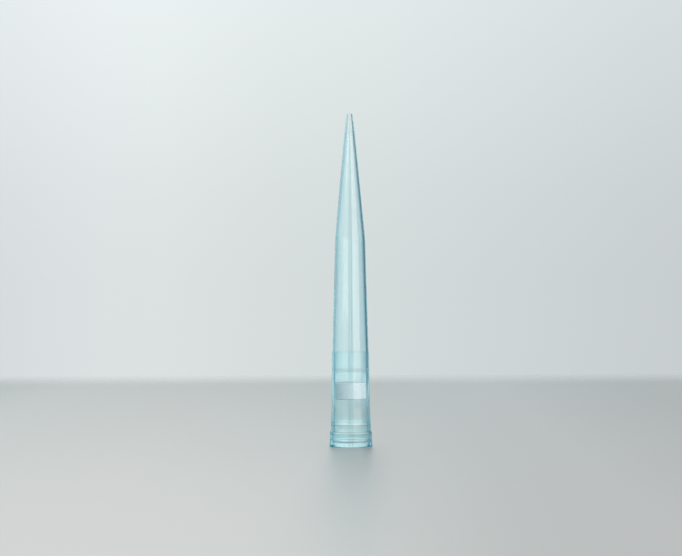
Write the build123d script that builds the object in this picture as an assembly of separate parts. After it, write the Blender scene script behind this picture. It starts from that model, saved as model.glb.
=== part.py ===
from build123d import *
import os

# A filter pipette tip of the 1000 microlitre class: one thin polypropylene moulding
# with a porous filter plug pressed into its bore.
# Millimetres. The tip stands on its collar rim at z = 0 and its orifice points up,
# with the origin on the axis in the plane of the rim.

os.makedirs("parts", exist_ok=True)

# heights along the axis, each measured from the feature before it
collar_height = 19.58       # rim to the shoulder that a rack carries
barrel_length = 23.50       # shoulder to the change of taper
nozzle_length = 25.92       # change of taper to the orifice
point_length = 4.20         # finer end of the nozzle
rim_height = 0.88
ring_height = 2.20
socket_depth = 5.13
socket_step_height = 0.15
seat_length = 10.22         # top of the socket step to the crest of the bead that stops the filter
flare_height = 7.93         # rim to where the collar starts to widen, going down

# bore
socket_radius = 3.51        # inner end of the nozzle socket, which the collar is built out from
seat_step = 0.035           # the filter seat is narrower than the socket by this
seat_taper = 0.12           # and narrows by this up to the stop bead
stop_step = 0.005           # the barrel is narrower than the end of the seat by this
stop_rise = 0.05            # the stop bead stands this far in from the barrel's bore
stop_face = 0.22            # its steep side, towards the filter
stop_lead = 0.54            # its long side, towards the barrel
break_bore = 2.68           # at the change of taper
point_bore = 0.72
orifice_radius = 0.34

# wall thicknesses
socket_wall = 0.60
sleeve_wall = 0.525
barrel_wall = 0.47
break_wall = 0.445
point_wall = 0.37
orifice_wall = 0.25

# nozzle socket: three shallow grooves leave straight bands between them that grip the nozzle
socket_taper = 0.19         # the socket widens by this from its inner end to the mouth
mouth_height = 0.70
mouth_flare = 0.28
inner_land = 0.14           # straight band between the socket's inner end and the first groove
middle_groove = 3.16        # rim to the top of the middle groove
mouth_land = 0.23           # the last groove ends this much short of the flared mouth
groove_heights = (0.71, 0.78, 0.55)
groove_depth = 0.08
groove_lead = 0.10          # height over which a groove opens, below its top
groove_run_out = 0.28       # height over which it closes again, above its foot

# collar and ribs
rim_width = 0.48            # rim outside the flared mouth
rim_slope = 0.30            # height over which the rim narrows to the ring
ring_setback = 0.07
foot_recess = 0.03          # the sleeve is this much thinner where it meets the ring
shoulder_width = 0.19       # step between the ribs
rib_count = 6
rib_root = 0.80
rib_crest = 0.58
rib_rise_top = 0.07
rib_rise_low = 0.06
edge_round = 0.12
foot_round = 0.22           # the rim's outer edge, where the tip stands
ledge_share = 0.9           # most of a narrow ledge on the ring that its rounding may take
break_blend = 36.0

# filter
filter_rise = 4.50          # socket step to the filter
filter_length = 3.50
filter_chamfer = 0.15
filter_clearance = 0.0      # pressed in, face to face with the seat

# how far the cut for the bore runs past both ends, and how closely two levels count as one
run_out = 1.0
same_level = 0.001

# heights above the rim
ring_top = rim_height + ring_height
step_top = socket_depth + socket_step_height
stop_height = step_top + seat_length
stop_low = stop_height - stop_face
stop_high = stop_height + stop_lead
break_top = collar_height + barrel_length
length = break_top + nozzle_length
point_foot = length - point_length
outer_groove = mouth_height + mouth_land + groove_heights[-1]
groove_tops = (socket_depth - inner_land, middle_groove, outer_groove)
band_ends = (middle_groove, outer_groove, mouth_height)
filter_low = step_top + filter_rise
filter_high = filter_low + filter_length

# radii
seat_foot = socket_radius - seat_step
seat_end = seat_foot - seat_taper
barrel_bore = seat_end - stop_step
mouth_radius = socket_radius + socket_taper
rim_inner = mouth_radius + mouth_flare
rim_radius = rim_inner + rim_width
ring_radius = rim_radius - ring_setback


def between(z, low, high):
    """Radius at height z on the straight line from low to high, each (radius, height)."""
    share = (z - low[1]) / (high[1] - low[1])
    return low[0] + share * (high[0] - low[0])


def socket_bore(z):
    """Radius of the plain socket wall at height z."""
    return between(z, (mouth_radius, mouth_height), (socket_radius, socket_depth))


def band_bore(low, high):
    """Radius of a straight band of the socket between two heights."""
    return socket_bore(0.5 * (low + high))


def seat_bore(z):
    """Radius of the filter seat at height z."""
    return between(z, (seat_foot, step_top), (seat_end, stop_low))


def barrel_inside(z):
    """Radius of the barrel bore at height z, between the stop bead and the change of taper."""
    return between(z, (barrel_bore, stop_high), (break_bore, break_top))


def turned(*line):
    """Solid turned about the axis from a closed line of (radius, height) points."""
    with BuildSketch(Plane.XZ) as section:
        with BuildLine():
            Polyline(*line, close=True)
        make_face()
    return revolve(section.sketch, Axis.Z)


# outer surface, without the ribs
barrel_radius = barrel_inside(collar_height) + barrel_wall
sleeve_top = barrel_radius + shoulder_width
sleeve_mid = seat_bore(flare_height) + sleeve_wall
sleeve_low = socket_radius + socket_wall
sleeve_foot = socket_bore(ring_top) + socket_wall - foot_recess
rim_top = rim_height + rim_slope
corner_round = min(edge_round, ledge_share * (ring_radius - sleeve_foot))

outer_line = [
    (0.0, 0.0),
    (rim_radius, 0.0),
    (rim_radius, rim_height),
    (ring_radius, rim_top),
    (ring_radius, ring_top),
    (sleeve_foot, ring_top),
    (sleeve_low, socket_depth),
    (sleeve_mid, flare_height),
    (sleeve_top, collar_height),
    (barrel_radius, collar_height),
    (break_bore + break_wall, break_top),
    (point_bore + point_wall, point_foot),
    (orifice_radius + orifice_wall, length),
    (0.0, length),
]
with BuildSketch(Plane.XZ) as outer_section:
    with BuildLine():
        Polyline(*outer_line, close=True)
    make_face()
    # the barrel runs into the slim nozzle without a hard edge
    blend = [v for v in outer_section.vertices() if abs(v.Y - break_top) < same_level]
    fillet(blend, break_blend)
    # the rim and the ring have rounded edges, the foot of the rim the softest
    corners = [v for v in outer_section.vertices() if v.X > ring_radius - same_level]
    fillet([v for v in corners if v.Y > same_level and abs(v.Y - rim_top) > same_level], corner_round)
    widest = [v for v in outer_section.vertices() if v.X > rim_radius - same_level]
    fillet([v for v in widest if v.Y < same_level], foot_round)
outside = revolve(outer_section.sketch, Axis.Z)

# ribs: tapering bars cut out of one turned sleeve, flat on top for the rack to carry
crest = turned(
    (0.0, rim_height),
    (sleeve_foot + rib_rise_low, rim_height),
    (sleeve_foot + rib_rise_low, ring_top),
    (sleeve_low + rib_rise_low, socket_depth),
    (sleeve_mid + rib_rise_top, flare_height),
    (sleeve_top + rib_rise_top, collar_height),
    (0.0, collar_height),
)
with BuildSketch(Plane.XY.offset(rim_height)) as rib_plan:
    with BuildLine():
        Polyline(
            (seat_foot, -0.5 * rib_root),
            (ring_radius, -0.5 * rib_crest),
            (ring_radius, 0.5 * rib_crest),
            (seat_foot, 0.5 * rib_root),
            close=True,
        )
    make_face()
bar = extrude(rib_plan.sketch, collar_height - rim_height)
rib = bar & crest

# bore: nozzle, barrel and filter seat, then the socket's grooves from the innermost to the mouth
bore_line = [
    (0.0, length + run_out),
    (orifice_radius, length + run_out),
    (orifice_radius, length),
    (point_bore, point_foot),
    (break_bore, break_top),
    (barrel_bore, stop_high),
    (barrel_bore - stop_rise, stop_height),
    (seat_end, stop_low),
    (seat_foot, step_top),
    (socket_radius, socket_depth),
]
band = socket_radius
for groove_top, groove_height, band_end in zip(groove_tops, groove_heights, band_ends):
    groove_foot = groove_top - groove_height
    bore_line.append((band, groove_top))
    bore_line.append((band + groove_depth, groove_top - groove_lead))
    band = band_bore(band_end, groove_foot)
    bore_line.append((band + groove_depth, groove_foot + groove_run_out))
    bore_line.append((band, groove_foot))
bore_line += [
    (mouth_radius, mouth_height),
    (rim_inner, 0.0),
    (rim_inner, -run_out),
    (0.0, -run_out),
]
with BuildSketch(Plane.XZ) as bore_section:
    with BuildLine():
        Polyline(*bore_line, close=True)
    make_face()
    blend = [v for v in bore_section.vertices() if abs(v.Y - break_top) < same_level]
    fillet(blend, break_blend)
bore = revolve(bore_section.sketch, Axis.Z)

tip_body = outside
for i in range(rib_count):
    tip_body = tip_body + Rot(0, 0, i * 360 / rib_count - 90) * rib
tip_body = tip_body - bore

# filter: a plug of sintered granules, as tapered as the bore it is pressed into
def plug_radius(z):
    """Radius of the filter at height z."""
    return seat_bore(z) - filter_clearance


side_low = filter_low + filter_chamfer
side_high = filter_high - filter_chamfer
plug = turned(
    (0.0, filter_low),
    (plug_radius(filter_low) - filter_chamfer, filter_low),
    (plug_radius(side_low), side_low),
    (plug_radius(side_high), side_high),
    (plug_radius(filter_high) - filter_chamfer, filter_high),
    (0.0, filter_high),
)

export_step(tip_body, "parts/tip_body.step")
export_step(plug, "parts/filter.step")
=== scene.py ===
import bpy
import math
import numpy as np
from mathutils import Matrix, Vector


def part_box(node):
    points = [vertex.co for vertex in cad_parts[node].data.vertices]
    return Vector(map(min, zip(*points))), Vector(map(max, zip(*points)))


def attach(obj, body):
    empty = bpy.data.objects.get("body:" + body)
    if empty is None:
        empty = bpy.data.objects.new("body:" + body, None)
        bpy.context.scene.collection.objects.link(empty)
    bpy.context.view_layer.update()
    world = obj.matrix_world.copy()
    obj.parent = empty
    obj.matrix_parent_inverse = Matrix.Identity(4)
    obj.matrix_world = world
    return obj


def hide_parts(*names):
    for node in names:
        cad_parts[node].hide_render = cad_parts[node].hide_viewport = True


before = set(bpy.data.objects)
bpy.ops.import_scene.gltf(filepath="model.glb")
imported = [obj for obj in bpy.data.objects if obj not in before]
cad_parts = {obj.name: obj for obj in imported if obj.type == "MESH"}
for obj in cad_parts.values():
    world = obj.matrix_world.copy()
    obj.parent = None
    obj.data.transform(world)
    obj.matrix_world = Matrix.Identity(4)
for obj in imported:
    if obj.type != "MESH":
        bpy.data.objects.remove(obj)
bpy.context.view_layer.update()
print("frame loaded:", ", ".join(sorted(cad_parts)))

mm = 0.001
bpy.context.scene.view_settings.view_transform = "Standard"
# light runs round inside a clear wall by many reflections, and stops dead at the usual four
bpy.context.scene.cycles.max_bounces = 40
bpy.context.scene.cycles.glossy_bounces = 24
bpy.context.scene.cycles.transmission_bounces = 32


def linear(hexColour):
    # each sRGB channel c becomes c / 12.92 in the darkest part and ((c + 0.055) / 1.055) ^ 2.4 above it
    channels = [int(hexColour[i:i + 2], 16) / 255 for i in (1, 3, 5)]
    return tuple(c / 12.92 if c <= 0.04045 else ((c + 0.055) / 1.055) ** 2.4 for c in channels) + (1.0,)


def addNode(tree, kind, values=None, links=None, **settings):
    # one node: settings are its own options, values its unlinked sockets, links the outputs that feed it
    node = tree.nodes.new(kind)
    for name, setting in settings.items():
        setattr(node, name, setting)
    for name, value in (values or {}).items():
        node.inputs[name].default_value = value
    for name, source in (links or {}).items():
        tree.links.new(source, node.inputs[name])
    return node


def fillRamp(ramp, stops):
    # stops are (position, colour); a ramp starts with two elements, the rest are added
    while len(ramp.elements) < len(stops):
        ramp.elements.new(0.5)
    for element, (position, colour) in zip(ramp.elements, stops):
        element.position = position
        element.color = colour


def newMaterial(name):
    material = bpy.data.materials.new(name)
    material.use_nodes = True
    material.node_tree.nodes.clear()
    return material, material.node_tree


def closedGrid(name, points, capped=False):
    # points is rows by columns by three, and each cell of the grid is a face. The columns close on
    # themselves, and so do the rows, unless caps close both end rows with a pole at the row's middle.
    rows, columns, _ = points.shape
    vertices = points.reshape(-1, 3)
    row = np.arange(rows - 1 if capped else rows)[:, None]
    column = np.arange(columns)
    here, there = row * columns, (row + 1) % rows * columns
    after = (column + 1) % columns
    cells = np.stack([here + column, here + after, there + after, there + column], axis=-1)
    faces = cells.reshape(-1, 4).tolist()
    if capped:
        last = (rows - 1) * columns
        lowPole, highPole = np.full(columns, len(vertices)), np.full(columns, len(vertices) + 1)
        vertices = np.vstack([vertices, points[0].mean(0), points[-1].mean(0)])
        faces += np.stack([after, column, lowPole], axis=-1).tolist()
        faces += np.stack([last + column, last + after, highPole], axis=-1).tolist()
    mesh = bpy.data.meshes.new(name)
    mesh.from_pydata(vertices, [], faces)
    mesh.update()
    mesh.shade_smooth()
    piece = bpy.data.objects.new(name, mesh)
    bpy.context.scene.collection.objects.link(piece)
    return piece


def turned(radius, height, angle):
    # a point for each row and angle: its radius times the angle's cosine and sine, and its row's height
    height = np.broadcast_to(height[:, None], radius.shape)
    return np.stack([radius * np.cos(angle), radius * np.sin(angle), height], axis=-1) * mm


def roundedProfile(corners, steps=5, guard=0.35, most=0.4):
    # corners are (radius, height, rib rise, rounding). Each rounded one becomes a quadratic curve from the
    # point that lies its rounding before the corner to the one as far after it:
    # (1 - t)^2 start + 2 t (1 - t) corner + t^2 end. It takes at most a share of the shorter run beside it.
    # A guard row a little further out on each side keeps the long plain runs shaded flat.
    corners = np.asarray(corners, float)
    body, rounding = corners[:, :3], corners[:, 3]
    before, after = np.roll(body, 1, 0) - body, np.roll(body, -1, 0) - body
    lengthBefore = np.linalg.norm(before, axis=1)[:, None]
    lengthAfter = np.linalg.norm(after, axis=1)[:, None]
    reach = np.minimum(rounding[:, None], most * np.minimum(lengthBefore, lengthAfter))
    start = body + before / lengthBefore * reach
    end = body + after / lengthAfter * reach
    t = np.linspace(0, 1, steps)[None, :, None]
    curve = (1 - t) ** 2 * start[:, None] + 2 * t * (1 - t) * body[:, None] + t ** 2 * end[:, None]
    first = start + before / lengthBefore * reach * guard
    last = end + after / lengthAfter * reach * guard
    curve = np.concatenate([first[:, None], curve, last[:, None]], axis=1)
    rows = steps + 2
    keep = np.repeat(rounding > 0, rows)
    keep[rows // 2::rows] = True     # a corner with no rounding keeps its middle row alone
    return curve.reshape(-1, 3)[keep]


# the moulded tip, in millimetres above the plane of its rim and out from its axis
tip = {
    "length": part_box("tip_body")[1].z / mm,
    # heights, up the outside and then up the bore
    "rimTop": 0.88, "rimSlope": 0.30, "ringTop": 3.08, "flareTop": 7.93, "collarTop": 19.58,
    "breakTop": 43.08, "pointFoot": 64.80,
    "mouthHeight": 0.70, "socketTop": 5.13, "stepTop": 5.28, "stopLow": 15.28, "stopCrest": 15.50,
    "stopHigh": 16.04,
    # radii of the outside and of the bore, and the wall between them
    "rimRadius": 4.46, "ringRadius": 4.39, "sleeveRadius": 3.95, "shoulderWidth": 0.19,
    "mouthRadius": 3.98, "socketWide": 3.70, "socketNarrow": 3.51, "seatFoot": 3.475, "seatEnd": 3.355,
    "stopRise": 0.05, "barrelBore": 3.35, "breakBore": 2.68, "pointBore": 0.72, "orifice": 0.34,
    "socketWall": 0.60, "sleeveWall": 0.525, "footRecess": 0.03, "barrelWall": 0.47, "breakWall": 0.445,
    "pointWall": 0.37, "orificeWall": 0.25,
    # each groove's top and foot, and the heights over which a groove opens and closes
    "grooves": ((4.99, 4.28), (3.16, 2.38), (1.48, 0.93)), "grooveLead": 0.10, "grooveRunOut": 0.28,
    "grooveDepth": 0.08,
    # the ribs' rise is given low on the collar and at its top
    "ribCount": 6, "ribHalfWidth": 0.32, "ribFlank": 0.08, "ribRise": (0.06, 0.07), "gapColumns": 7,
    # roundings, up the outside and then down the bore
    "footRound": 0.22, "rimRound": 0.12, "slopeRound": 0.05, "ringRound": 0.10, "flareRound": 0.35,
    "ribRound": 0.04, "shoulderRound": 0.02, "breakBlend": 1.15, "pointRound": 0.5, "orificeRound": 0.05,
    "stopRound": 0.12, "stepRound": 0.06, "grooveRound": 0.09, "mouthTopRound": 0.08, "mouthRound": 0.06,
}


def onLine(z, low, high):
    # radius at height z on the straight line between low and high, each (radius, height)
    return low[0] + (z - low[1]) / (high[1] - low[1]) * (high[0] - low[0])


# the bore's radius at height z: in the socket, along the filter's seat, and up the barrel
def socketBore(z):
    return onLine(z, (tip["socketWide"], tip["mouthHeight"]), (tip["socketNarrow"], tip["socketTop"]))


def seatBore(z):
    return onLine(z, (tip["seatFoot"], tip["stepTop"]), (tip["seatEnd"], tip["stopLow"]))


def barrelBore(z):
    return onLine(z, (tip["barrelBore"], tip["stopHigh"]), (tip["breakBore"], tip["breakTop"]))


def tipProfile():
    # the wall's outline in section, once round: up the outside from the rim, over the orifice, down the bore
    # to the mouth. Each corner is its radius, its height, what a rib adds there, and its rounding.
    t = tip
    ringFoot = socketBore(t["ringTop"]) + t["socketWall"] - t["footRecess"]
    barrelRadius = barrelBore(t["collarTop"]) + t["barrelWall"]
    riseLow, riseHigh = t["ribRise"]
    outside = [
        (t["rimRadius"], 0.0, 0, t["footRound"]),
        (t["rimRadius"], t["rimTop"], 0, t["rimRound"]),
        (t["ringRadius"], t["rimTop"] + t["rimSlope"], 0, t["slopeRound"]),
        (t["ringRadius"], t["ringTop"], 0, t["ringRound"]),
        (ringFoot, t["ringTop"], riseLow, t["ringRound"]),
        (t["socketNarrow"] + t["socketWall"], t["socketTop"], riseLow, t["flareRound"]),
        (seatBore(t["flareTop"]) + t["sleeveWall"], t["flareTop"], riseHigh, t["flareRound"]),
        (barrelRadius + t["shoulderWidth"], t["collarTop"], riseHigh, t["shoulderRound"]),
        (barrelRadius, t["collarTop"], 0, t["shoulderRound"]),
        (t["breakBore"] + t["breakWall"], t["breakTop"], 0, t["breakBlend"]),
        (t["pointBore"] + t["pointWall"], t["pointFoot"], 0, t["pointRound"]),
        (t["orifice"] + t["orificeWall"], t["length"], 0, t["orificeRound"]),
    ]
    inside = [
        (t["orifice"], t["length"], 0, t["orificeRound"]),
        (t["pointBore"], t["pointFoot"], 0, t["pointRound"]),
        (t["breakBore"], t["breakTop"], 0, t["breakBlend"]),
        (t["barrelBore"], t["stopHigh"], 0, t["stopRound"]),
        (t["barrelBore"] - t["stopRise"], t["stopCrest"], 0, t["stopRound"]),
        (t["seatEnd"], t["stopLow"], 0, t["stopRound"]),
        (t["seatFoot"], t["stepTop"], 0, t["stepRound"]),
        (t["socketNarrow"], t["socketTop"], 0, t["stepRound"]),
    ]
    # a straight band of the bore is left between each groove and the next
    band, depth, soft = t["socketNarrow"], t["grooveDepth"], t["grooveRound"]
    bandEnds = [top for top, _ in t["grooves"][1:]] + [t["mouthHeight"]]
    for (top, foot), bandEnd in zip(t["grooves"], bandEnds):
        inside += [(band, top, 0, soft), (band + depth, top - t["grooveLead"], 0, soft)]
        band = socketBore((foot + bandEnd) / 2)
        inside += [(band + depth, foot + t["grooveRunOut"], 0, soft), (band, foot, 0, soft)]
    inside += [
        (t["socketWide"], t["mouthHeight"], 0, t["mouthTopRound"]),
        (t["mouthRadius"], 0.0, 0, t["mouthRound"]),
    ]
    return roundedProfile(outside + inside)


def ribSection():
    # half a rib and half the gap beside it, as angle round the axis and share of the full rise: a flat crest,
    # a drafted flank and the plain sleeve, with both of the flank's corners rounded
    half, flank = tip["ribHalfWidth"], tip["ribFlank"]
    rise, soft = tip["ribRise"][1], tip["ribRound"]
    reach = math.pi / tip["ribCount"] * tip["sleeveRadius"]
    below = -1     # the two corners down here only close the line, and are dropped again
    line = roundedProfile([
        (0, rise, 0, 0), (half - flank / 2, rise, 0, soft), (half + flank / 2, 0, 0, soft), (reach, 0, 0, 0),
        (reach, below, 0, 0), (0, below, 0, 0),
    ])
    line = line[line[:, 1] > below / 2]
    gap = np.linspace(line[-2, 0], reach, tip["gapColumns"] + 2)[1:-1]
    distance = np.concatenate([line[:-1, 0], gap])
    share = np.concatenate([line[:-1, 1] / rise, np.zeros(len(gap))])
    return distance / tip["sleeveRadius"], share


def ribColumns():
    # every column's angle and rib share, once round: each rib is the half section and its mirror image
    angle, share = ribSection()
    angle = np.concatenate([-angle[:0:-1], angle])
    share = np.concatenate([share[:0:-1], share])
    turns = np.arange(tip["ribCount"])[:, None] * 2 * math.pi / tip["ribCount"] - math.pi / 2
    return (angle[None, :] + turns).ravel(), np.tile(share, tip["ribCount"])


def tipPoints():
    # the outline turned about the axis, with its radius at each angle larger by rib rise times rib share
    angle, share = ribColumns()
    radius, height, rise = tipProfile().T
    return turned(radius[:, None] + rise[:, None] * share, height, angle)


tipPiece = closedGrid("tipMoulding", tipPoints())
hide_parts("tip_body")
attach(tipPiece, "root")
print("tip moulding:", len(tipPiece.data.polygons), "faces")

# the filter plug, in millimetres
plug = {
    "low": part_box("filter")[0].z / mm, "high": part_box("filter")[1].z / mm,
    "slack": 0.02,                      # keeps its side off the bore's wall
    "chamfer": 0.15,
    "grain": 0.22, "depth": 0.012,
    "shift": 3, "shiftAlong": 2.1, "shiftAround": 5,     # how far a wave is shifted, and how often
    "columns": 240, "sideRows": 40, "faceRows": 14,
    "innerRow": 0.12,                   # the row beside a face's pole, as a share of the face's radius
}


def plugPoints():
    # a turned plug with its radius pulled in by grains: two crossed sine waves of the grain's size, one round
    # the plug and one along its outline, each shifted by a slow sine of the other's distance
    p = plug
    side = np.linspace(p["low"] + p["chamfer"], p["high"] - p["chamfer"], p["sideRows"])
    face = np.linspace(p["innerRow"], 1, p["faceRows"])
    lowFace = face * (seatBore(p["low"]) - p["slack"] - p["chamfer"])
    highFace = face[::-1] * (seatBore(p["high"]) - p["slack"] - p["chamfer"])
    radius = np.concatenate([lowFace, seatBore(side) - p["slack"], highFace])
    height = np.concatenate([np.full(len(face), p["low"]), side, np.full(len(face), p["high"])])
    angle = np.linspace(0, 2 * math.pi, p["columns"], endpoint=False)
    steps = np.hypot(np.diff(radius, prepend=radius[0]), np.diff(height, prepend=height[0]))
    along = np.cumsum(steps)[:, None]
    around = angle * radius[:, None]
    waves = 2 * math.pi / p["grain"]
    waveRound = np.sin(waves * around + p["shift"] * np.sin(p["shiftAlong"] * along))
    waveAlong = np.sin(waves * along + p["shift"] * np.sin(p["shiftAround"] * angle))
    grains = 0.5 + 0.25 * waveRound + 0.25 * waveAlong     # from 0 on a granule's crown to 1 in a hollow
    # towards the poles the grains fade away with the radius
    pulled = p["depth"] * grains * (radius[:, None] / tip["seatFoot"])
    return turned(radius[:, None] - pulled, height, angle)


plugPiece = closedGrid("filterPlug", plugPoints(), capped=True)
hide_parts("filter")
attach(plugPiece, "root")
print("filter plug:", len(plugPiece.data.polygons), "faces")

clear = {
    "tint": "#00F4FF", "density": 325.0,     # red is taken up over about 3 mm, green and blue hardly
    "roughness": 0.03, "ior": 1.49,
    "clarity": 0.98,                         # the rest is scattered: the faint haze of a random copolymer
}


def clearPolypropylene():
    # random copolymer polypropylene, injection moulded in a polished tool and tinted pale blue in the mass:
    # clear with a faint haze, and bluer where the eye looks along the wall
    material, tree = newMaterial("clearTintedPolypropylene")
    shader = addNode(tree, "ShaderNodeBsdfPrincipled", {
        "Base Color": linear("#FFFFFF"), "Roughness": clear["roughness"], "IOR": clear["ior"],
        "Transmission Weight": clear["clarity"],
    })
    absorbed = addNode(tree, "ShaderNodeVolumeAbsorption", {
        "Color": linear(clear["tint"]), "Density": clear["density"],
    })
    addNode(tree, "ShaderNodeOutputMaterial", links={
        "Surface": shader.outputs["BSDF"], "Volume": absorbed.outputs["Volume"],
    })
    return material


granular = {
    # painted light and shade: the crown colour is painted light and the hollow colour painted shade on white
    # polyethylene, both with a painted blue cast of the light that reaches the plug through the tinted wall
    "light": "#E4F2FB", "shade": "#D4E3ED",  # a granule's crown, and the hollows between granules
    "crownEnd": 0.15, "hollowStart": 0.75,   # distances from a granule's middle, as shares of its size
    "grain": 0.22, "relief": 0.04,           # millimetres
    "bump": 0.5, "roughness": 0.85, "ior": 1.5,
}


def sinteredPolyethylene():
    # polyethylene granules sintered into a rigid porous plug: dead white and matte, with a fine grain of
    # rounded beads.
    # Its colours are painted light and shade: lighter on the crowns, shaded in the hollows, with a painted
    # blue cast of the light through the tinted wall
    material, tree = newMaterial("sinteredPorousPolyethylene")
    place = addNode(tree, "ShaderNodeTexCoord")
    cells = addNode(tree, "ShaderNodeTexVoronoi", {"Scale": 1 / (granular["grain"] * mm), "Randomness": 1.0},
                    {"Vector": place.outputs["Object"]}, feature="SMOOTH_F1")
    # painted light on each granule's crown, fading to painted shade in its hollows
    tone = addNode(tree, "ShaderNodeValToRGB", links={"Fac": cells.outputs["Distance"]})
    fillRamp(tone.color_ramp, [
        (granular["crownEnd"], linear(granular["light"])),
        (granular["hollowStart"], linear(granular["shade"])),
    ])
    relief = addNode(tree, "ShaderNodeBump", {
        "Strength": granular["bump"], "Distance": granular["relief"] * mm,
    }, {"Height": cells.outputs["Distance"]}, invert=True)
    shader = addNode(tree, "ShaderNodeBsdfPrincipled", {
        "Roughness": granular["roughness"], "IOR": granular["ior"],
    }, {"Base Color": tone.outputs["Color"], "Normal": relief.outputs["Normal"]})
    addNode(tree, "ShaderNodeOutputMaterial", links={"Surface": shader.outputs["BSDF"]})
    return material


tipPiece.data.materials.append(clearPolypropylene())
plugPiece.data.materials.append(sinteredPolyethylene())
print("materials made")

# the table, in metres
table = {
    "reach": 0.33, "fade": 0.05, "roughness": 0.38, "ior": 1.45,
    # the laminate's tone at each distance to the right of the tip is painted light and shade: its bands stand
    # in for how the light falls across the table, and both pale ends are painted light that the walls of the
    # collar catch
    "paintedLightTones": [
        (-0.40, "#ECF1EF"), (-0.18, "#ECF1EF"), (-0.14, "#A4A9A8"), (-0.09, "#B8BEBA"), (-0.045, "#B5B9B6"),
        (0.0, "#ACB3B2"), (0.045, "#B8BDBC"), (0.09, "#AEB3B1"), (0.14, "#AEB0AD"), (0.18, "#ECF1EF"),
        (0.40, "#ECF1EF"),
    ],
}


def satinLaminate():
    # satin laminate, grey: painted light and shade in soft bands from left to right and painted pale ends,
    # under its own blurred sheen
    material, tree = newMaterial("satinGreyLaminate")
    place = addNode(tree, "ShaderNodeTexCoord")
    axes = addNode(tree, "ShaderNodeSeparateXYZ", links={"Vector": place.outputs["Object"]})
    first, last = table["paintedLightTones"][0][0], table["paintedLightTones"][-1][0]
    across = addNode(tree, "ShaderNodeMapRange", {"From Min": first, "From Max": last},
                     {"Value": axes.outputs["X"]})
    # the painted light and shade across the table, by distance to the right
    tone = addNode(tree, "ShaderNodeValToRGB", links={"Fac": across.outputs["Result"]})
    width = last - first
    fillRamp(tone.color_ramp, [((x - first) / width, linear(colour)) for x, colour in table["paintedLightTones"]])
    laminate = addNode(tree, "ShaderNodeBsdfPrincipled", {
        "Roughness": table["roughness"], "IOR": table["ior"],
    }, {"Base Color": tone.outputs["Color"]})
    # the table's edge melts into the backdrop: clear where either distance from the middle passes its reach
    edges = []
    for axis in ("X", "Y"):
        far = addNode(tree, "ShaderNodeMath", links={0: axes.outputs[axis]}, operation="ABSOLUTE")
        edges.append(addNode(tree, "ShaderNodeMapRange", {
            "From Min": table["reach"] - table["fade"], "From Max": table["reach"] + table["fade"],
        }, {"Value": far.outputs["Value"]}, interpolation_type="SMOOTHSTEP"))
    edge = addNode(tree, "ShaderNodeMath", links={
        0: edges[0].outputs["Result"], 1: edges[1].outputs["Result"],
    }, operation="MAXIMUM")
    clearEdge = addNode(tree, "ShaderNodeBsdfTransparent")
    mix = addNode(tree, "ShaderNodeMixShader", links={
        0: edge.outputs["Value"], 1: laminate.outputs["BSDF"], 2: clearEdge.outputs["BSDF"],
    })
    addNode(tree, "ShaderNodeOutputMaterial", links={"Surface": mix.outputs["Shader"]})
    return material


def makeTable():
    side = table["reach"] + table["fade"]
    corners = [(-side, -side, 0), (side, -side, 0), (side, side, 0), (-side, side, 0)]
    mesh = bpy.data.meshes.new("table")
    mesh.from_pydata(corners, [], [(0, 1, 2, 3)])
    mesh.materials.append(satinLaminate())
    top = bpy.data.objects.new("table", mesh)
    bpy.context.scene.collection.objects.link(top)


room = {
    # the wall's colour in each direction, as degrees to the right of straight behind the tip
    "walls": [
        (-180, "#D6DDE0"), (-120, "#D2DADE"), (-70, "#C4CED2"), (-46, "#A0BCC4"), (-28, "#A6BEC6"),
        (-18, "#CDD6D8"), (-8, "#D7DDE0"), (-6.5, "#DCE1E2"), (-5, "#DDE3E3"), (-3.6, "#DCE2E2"),
        (-2.1, "#D8DEDE"), (1, "#D4DBDB"), (4, "#CFD6D8"), (8, "#C9CFD1"), (15, "#C4CCCE"), (22, "#7A98A4"),
        (30, "#436E81"), (44, "#436E81"), (60, "#8A9EA6"), (90, "#C4CED2"), (180, "#D6DDE0"),
    ],
    # how bright the wall is at each height, as degrees above eye level
    "levels": [
        (-90, 0.90), (-3, 0.985), (0, 0.99), (2, 1.022), (4.25, 1.09), (6.4, 1.15), (12, 1.20), (90, 1.20),
    ],
    "brightest": 1.25,
    # low down, the dark corners on both sides stop and a pale wall shows: blended in between these heights
    # and between these angles from straight ahead, in degrees
    "foot": "#E6F0F4", "footHeights": (-1.40, -1.56), "footSides": (10, 17),
    # the one tone that lights the scene
    "plain": "#E6EDF0", "plainLevel": 0.75,
}


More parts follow.
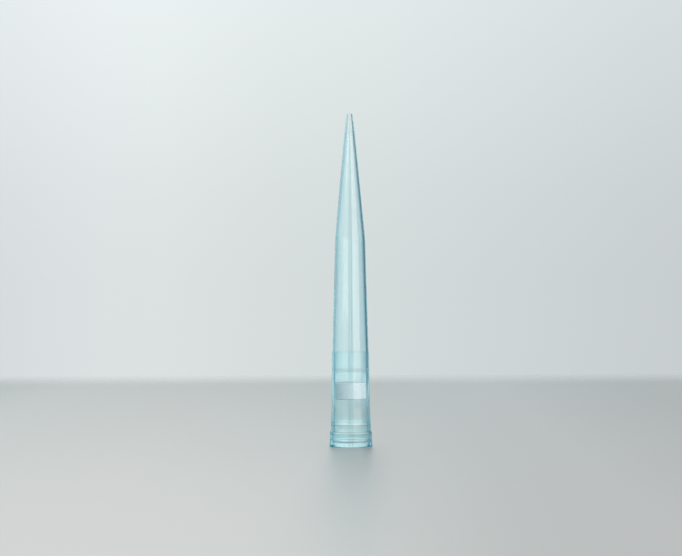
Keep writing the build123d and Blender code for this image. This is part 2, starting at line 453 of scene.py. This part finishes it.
def makeRoom():
    # rays that see the room get its colours by direction; rays that only carry light get one plain pale tone
    world = bpy.data.worlds.new("studioRoom")
    bpy.context.scene.world = world
    world.use_nodes = True
    tree = world.node_tree
    tree.nodes.clear()
    # azimuth is the arc tangent of x over y, and elevation is the arc sine of z
    place = addNode(tree, "ShaderNodeTexCoord")
    axes = addNode(tree, "ShaderNodeSeparateXYZ", links={"Vector": place.outputs["Generated"]})
    azimuth = addNode(tree, "ShaderNodeMath", links={0: axes.outputs["X"], 1: axes.outputs["Y"]},
                      operation="ARCTAN2")
    elevation = addNode(tree, "ShaderNodeMath", links={0: axes.outputs["Z"]}, operation="ARCSINE")
    turn = addNode(tree, "ShaderNodeMapRange", {"From Min": -math.pi, "From Max": math.pi},
                   {"Value": azimuth.outputs["Value"]})
    wall = addNode(tree, "ShaderNodeValToRGB", links={"Fac": turn.outputs["Result"]})
    fillRamp(wall.color_ramp, [((angle + 180) / 360, linear(colour)) for angle, colour in room["walls"]])
    # the foot shows where both blends are full
    aside = addNode(tree, "ShaderNodeMath", links={0: azimuth.outputs["Value"]}, operation="ABSOLUTE")
    blends = []
    for angle, (start, end) in ((elevation, room["footHeights"]), (aside, room["footSides"])):
        blends.append(addNode(tree, "ShaderNodeMapRange", {
            "From Min": math.radians(start), "From Max": math.radians(end),
        }, {"Value": angle.outputs["Value"]}))
    foot = addNode(tree, "ShaderNodeMath", links={
        0: blends[0].outputs["Result"], 1: blends[1].outputs["Result"],
    }, operation="MULTIPLY")
    walls = addNode(tree, "ShaderNodeMix", {"B": linear(room["foot"])}, {
        "Factor": foot.outputs["Value"], "A": wall.outputs["Color"],
    }, data_type="RGBA")
    # the gain is a share of the brightest level, which the background's strength makes up for
    rise = addNode(tree, "ShaderNodeMapRange", {"From Min": -math.pi / 2, "From Max": math.pi / 2},
                   {"Value": elevation.outputs["Value"]})
    gain = addNode(tree, "ShaderNodeValToRGB", links={"Fac": rise.outputs["Result"]})
    shares = [(angle, level / room["brightest"]) for angle, level in room["levels"]]
    fillRamp(gain.color_ramp, [((angle + 90) / 180, (share, share, share, 1)) for angle, share in shares])
    shown = addNode(tree, "ShaderNodeMix", {"Factor": 1.0}, {
        "A": walls.outputs["Result"], "B": gain.outputs["Color"],
    }, data_type="RGBA", blend_type="MULTIPLY")
    seen = addNode(tree, "ShaderNodeBackground", {"Strength": room["brightest"]},
                   {"Color": shown.outputs["Result"]})
    plain = addNode(tree, "ShaderNodeBackground", {
        "Color": linear(room["plain"]), "Strength": room["plainLevel"],
    })
    ray = addNode(tree, "ShaderNodeLightPath")
    either = addNode(tree, "ShaderNodeMath", links={
        0: ray.outputs["Is Camera Ray"], 1: ray.outputs["Is Glossy Ray"],
    }, operation="MAXIMUM")
    sees = addNode(tree, "ShaderNodeMath", links={
        0: either.outputs["Value"], 1: ray.outputs["Is Transmission Ray"],
    }, operation="MAXIMUM")
    mix = addNode(tree, "ShaderNodeMixShader", links={
        0: sees.outputs["Value"], 1: plain.outputs["Background"], 2: seen.outputs["Background"],
    })
    addNode(tree, "ShaderNodeOutputWorld", links={"Surface": mix.outputs["Shader"]})


# azimuth is degrees to the right of the camera's side; distance, heights and width are in metres
softboxes = {
    "softboxRight": {
        "azimuth": 41, "distance": 0.55, "heights": (-0.02, 0.60), "width": 0.49,
        "radiance": 2.3, "colour": "#FFDCD0", "shadow": False,
    },
    "softboxLeft": {
        "azimuth": -33, "distance": 0.55, "heights": (-0.02, 0.60), "width": 0.29,
        "radiance": 0.6, "colour": "#FFDCD0", "shadow": False,
    },
    # this one throws the soft shadow towards the camera, and doesn't show through the clear wall
    "softboxBack": {
        "azimuth": -165, "distance": 0.60, "heights": (0.20, 0.50), "width": 0.40,
        "radiance": 1.8, "colour": "#FFFFFF", "throughClear": False,
    },
}


def addSoftbox(name, azimuth, distance, heights, width, radiance, colour, shadow=True, throughClear=True):
    # a rectangular lamp that faces the tip. One without shadow reaches what stands behind a clear wall, where
    # a shadow ray would stop. A lamp of area A and power P shines with radiance P / (pi A), so P is pi A
    # times the radiance.
    low, high = heights
    lamp = bpy.data.lights.new(name, "AREA")
    lamp.shape = "RECTANGLE"
    lamp.size, lamp.size_y = width, high - low
    lamp.energy = math.pi * lamp.size * lamp.size_y * radiance
    lamp.color = linear(colour)[:3]
    lamp.use_shadow = shadow
    holder = bpy.data.objects.new(name, lamp)
    turn = math.radians(azimuth)
    place = Vector((math.sin(turn) * distance, -math.cos(turn) * distance, (low + high) / 2))
    holder.location = place
    holder.rotation_euler = Vector((-place.x, -place.y, 0)).to_track_quat("-Z", "Y").to_euler()
    holder.visible_camera = False
    holder.visible_transmission = throughClear
    bpy.context.scene.collection.objects.link(holder)


makeTable()
makeRoom()
for name, softbox in softboxes.items():
    addSoftbox(name, **softbox)
print("studio made")

# the camera looks level at the tip: its place is in metres, its roll in degrees, its lens in millimetres
view = {"distance": 0.498, "side": -0.00192, "height": 0.03488, "roll": 0.24, "focal": 126.7, "sensor": 36}
eye = bpy.data.cameras.new("camera")
eye.sensor_width = view["sensor"]
eye.lens = view["focal"]
eye.clip_start, eye.clip_end = 0.01, 10
camera = bpy.data.objects.new("camera", eye)
camera.location = (view["side"], -view["distance"], view["height"])
camera.rotation_euler = (math.radians(90), math.radians(view["roll"]), 0)
bpy.context.scene.collection.objects.link(camera)
bpy.context.scene.camera = camera
